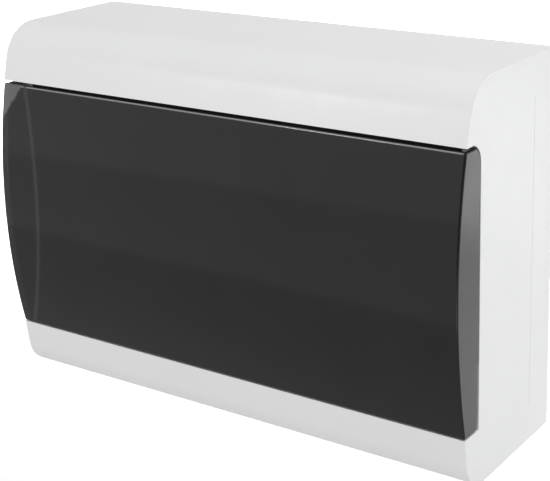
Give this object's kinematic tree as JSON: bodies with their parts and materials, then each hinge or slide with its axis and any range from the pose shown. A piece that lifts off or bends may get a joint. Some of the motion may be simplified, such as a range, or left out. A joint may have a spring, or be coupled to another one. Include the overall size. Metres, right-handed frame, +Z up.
{
  "type": "residential load center",
  "caption": "Surface-mounted white plastic load center with a bowed smoked flap door over one row of DIN-rail switches and breakers.",
  "frame": {"origin": "centre of the wall face, which is also the centre of the four wall fixing holes", "axes": "+X to the right along the row, +Y into the wall, +Z up; the door faces -Y"},
  "size_m": [0.284, 0.0985, 0.2],
  "materials": {
    "shell": "satin moulded white ABS",
    "smoked_door": "polished smoked polycarbonate",
    "screw_steel": "bright zinc",
    "rail_steel": "zinc-plated steel",
    "inner_plastic": "fine moulded",
    "bar_brass": "machined",
    "neutral_blue": "moulded",
    "earth_green": "moulded",
    "grommet_rubber": "matt",
    "busbar_copper": "bare copper",
    "busbar_grey": "moulded",
    "live_brown": "wire insulation",
    "neutral_wire_blue": "wire insulation",
    "device_grey": "fine moulded",
    "toggle_red": "moulded",
    "toggle_black": "moulded",
    "test_yellow": "moulded",
    "clip_dark": "moulded"
  },
  "bodies": {
    "enclosure": {"rear_base": "shell", "front_cover": "shell", "cover_screws": "screw_steel", "din_rail": "rail_steel", "rail_bracket_left": "inner_plastic", "rail_bracket_right": "inner_plastic", "rail_screws": "screw_steel", "bracket_screws": "screw_steel", "neutral_bar": "bar_brass", "neutral_bar_holder": "neutral_blue", "neutral_bar_screws": "screw_steel", "earth_bar": "bar_brass", "earth_bar_holder": "earth_green", "earth_bar_screws": "screw_steel", "cable_entry_plate": "shell", "cable_grommets": "grommet_rubber", "blanking_strip": "shell", "comb_busbar": "busbar_copper", "busbar_cover": "busbar_grey", "terminal_clamps": "bar_brass", "terminal_screws": "screw_steel", "live_link_wire": "live_brown", "neutral_link_wire": "neutral_wire_blue", "neutral_lead_wire": "neutral_wire_blue", "main_switch_body": "device_grey", "rcd_body": "device_grey", "breaker_1_body": "device_grey", "breaker_2_body": "device_grey", "breaker_3_body": "device_grey", "breaker_4_body": "device_grey", "breaker_5_body": "device_grey", "breaker_6_body": "device_grey"},
    "door": {"door": "smoked_door"},
    "rcd_test_button": {"rcd_test_button": "test_yellow"},
    "main_switch_toggle": {"main_switch_toggle": "toggle_red"},
    "rcd_toggle": {"rcd_toggle": "toggle_black"},
    "breaker_1_toggle": {"breaker_1_toggle": "toggle_black"},
    "breaker_2_toggle": {"breaker_2_toggle": "toggle_black"},
    "breaker_3_toggle": {"breaker_3_toggle": "toggle_black"},
    "breaker_4_toggle": {"breaker_4_toggle": "toggle_black"},
    "breaker_5_toggle": {"breaker_5_toggle": "toggle_black"},
    "breaker_6_toggle": {"breaker_6_toggle": "toggle_black"},
    "main_switch_din_clip": {"main_switch_din_clip": "clip_dark"},
    "rcd_din_clip": {"rcd_din_clip": "clip_dark"},
    "breaker_1_din_clip": {"breaker_1_din_clip": "clip_dark"},
    "breaker_2_din_clip": {"breaker_2_din_clip": "clip_dark"},
    "breaker_3_din_clip": {"breaker_3_din_clip": "clip_dark"},
    "breaker_4_din_clip": {"breaker_4_din_clip": "clip_dark"},
    "breaker_5_din_clip": {"breaker_5_din_clip": "clip_dark"},
    "breaker_6_din_clip": {"breaker_6_din_clip": "clip_dark"}
  },
  "joints": [
    {"name": "door_hinge", "type": "hinge", "parent": "enclosure", "child": "door", "pos_m": [0, -0.0865, 0.0615], "axis": [-1, 0, 0], "range_deg": [0, 100]},
    {"name": "main_switch_toggle_hinge", "type": "hinge", "parent": "enclosure", "child": "main_switch_toggle", "pos_m": [-0.09, -0.068, 0], "axis": [1, 0, 0], "range_deg": [0, 56]},
    {"name": "main_switch_clip_slide", "type": "slide", "parent": "enclosure", "child": "main_switch_din_clip", "axis": [0, 0, -1], "range_m": [0, 0.003], "stiffness_N_per_m": 300, "springref_m": -0.004},
    {"name": "rcd_toggle_hinge", "type": "hinge", "parent": "enclosure", "child": "rcd_toggle", "pos_m": [-0.047, -0.068, 0], "axis": [1, 0, 0], "range_deg": [0, 56]},
    {"name": "rcd_clip_slide", "type": "slide", "parent": "enclosure", "child": "rcd_din_clip", "axis": [0, 0, -1], "range_m": [0, 0.003], "stiffness_N_per_m": 300, "springref_m": -0.004},
    {"name": "breaker_1_toggle_hinge", "type": "hinge", "parent": "enclosure", "child": "breaker_1_toggle", "pos_m": [-0.027, -0.068, 0], "axis": [1, 0, 0], "range_deg": [0, 56]},
    {"name": "breaker_1_clip_slide", "type": "slide", "parent": "enclosure", "child": "breaker_1_din_clip", "axis": [0, 0, -1], "range_m": [0, 0.003], "stiffness_N_per_m": 300, "springref_m": -0.004},
    {"name": "breaker_2_toggle_hinge", "type": "hinge", "parent": "enclosure", "child": "breaker_2_toggle", "pos_m": [-0.009, -0.068, 0], "axis": [1, 0, 0], "range_deg": [0, 56]},
    {"name": "breaker_2_clip_slide", "type": "slide", "parent": "enclosure", "child": "breaker_2_din_clip", "axis": [0, 0, -1], "range_m": [0, 0.003], "stiffness_N_per_m": 300, "springref_m": -0.004},
    {"name": "breaker_3_toggle_hinge", "type": "hinge", "parent": "enclosure", "child": "breaker_3_toggle", "pos_m": [0.009, -0.068, 0], "axis": [1, 0, 0], "range_deg": [0, 56]},
    {"name": "breaker_3_clip_slide", "type": "slide", "parent": "enclosure", "child": "breaker_3_din_clip", "axis": [0, 0, -1], "range_m": [0, 0.003], "stiffness_N_per_m": 300, "springref_m": -0.004},
    {"name": "breaker_4_toggle_hinge", "type": "hinge", "parent": "enclosure", "child": "breaker_4_toggle", "pos_m": [0.027, -0.068, 0], "axis": [1, 0, 0], "range_deg": [0, 56]},
    {"name": "breaker_4_clip_slide", "type": "slide", "parent": "enclosure", "child": "breaker_4_din_clip", "axis": [0, 0, -1], "range_m": [0, 0.003], "stiffness_N_per_m": 300, "springref_m": -0.004},
    {"name": "breaker_5_toggle_hinge", "type": "hinge", "parent": "enclosure", "child": "breaker_5_toggle", "pos_m": [0.045, -0.068, 0], "axis": [1, 0, 0], "range_deg": [0, 56]},
    {"name": "breaker_5_clip_slide", "type": "slide", "parent": "enclosure", "child": "breaker_5_din_clip", "axis": [0, 0, -1], "range_m": [0, 0.003], "stiffness_N_per_m": 300, "springref_m": -0.004},
    {"name": "breaker_6_toggle_hinge", "type": "hinge", "parent": "enclosure", "child": "breaker_6_toggle", "pos_m": [0.063, -0.068, 0], "axis": [1, 0, 0], "range_deg": [0, 56]},
    {"name": "breaker_6_clip_slide", "type": "slide", "parent": "enclosure", "child": "breaker_6_din_clip", "axis": [0, 0, -1], "range_m": [0, 0.003], "stiffness_N_per_m": 300, "springref_m": -0.004},
    {"name": "rcd_test_button_slide", "type": "slide", "parent": "enclosure", "child": "rcd_test_button", "axis": [0, 1, 0], "range_m": [0, 0.0015], "stiffness_N_per_m": 300, "springref_m": -0.002}
  ]
}
